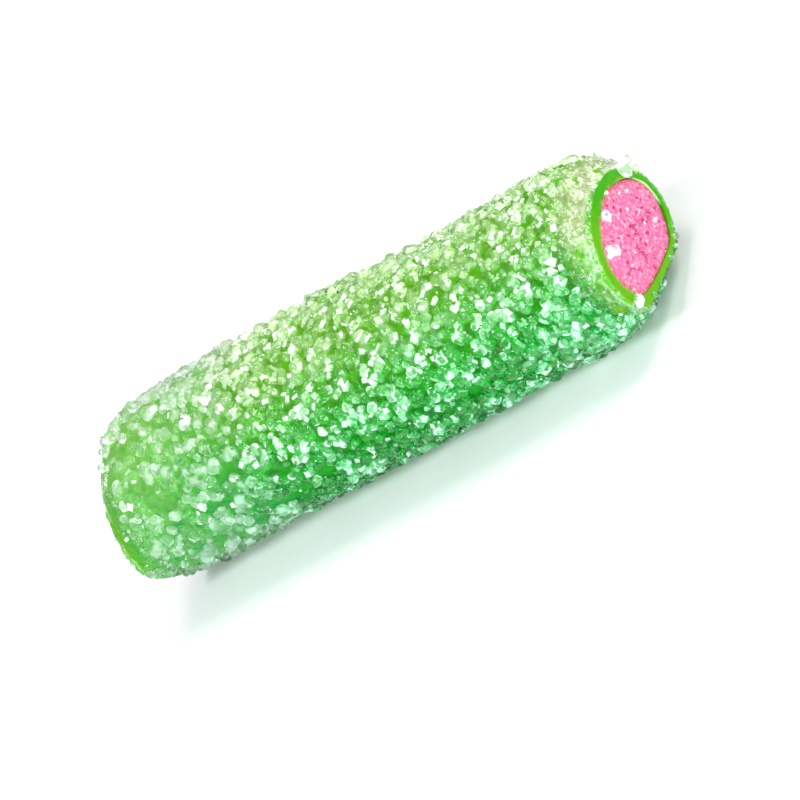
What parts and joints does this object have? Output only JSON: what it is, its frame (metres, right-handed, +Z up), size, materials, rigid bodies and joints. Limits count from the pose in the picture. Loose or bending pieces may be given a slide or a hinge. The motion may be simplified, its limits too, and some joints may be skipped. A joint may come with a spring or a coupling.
{
  "type": "filled sour gummy",
  "caption": "Short tube of green sour jelly round a pink core, cut square at both ends and rolled in coarse sugar.",
  "frame": {"origin": "on the table under the middle of the tube", "axes": "+X along the tube towards the cut end that the picture shows, +Z up"},
  "size_m": [0.0514, 0.0146, 0.0128],
  "materials": {
    "sour_jelly": "translucent green jelly under coarse clear sugar",
    "coarse_sugar": "clear glittering sugar crystals",
    "pink_filling": "soft matt pink filling with a grainy cut"
  },
  "bodies": {
    "root": {"sugared_skin": "sour_jelly", "filling": "pink_filling"}
  },
  "joints": []
}
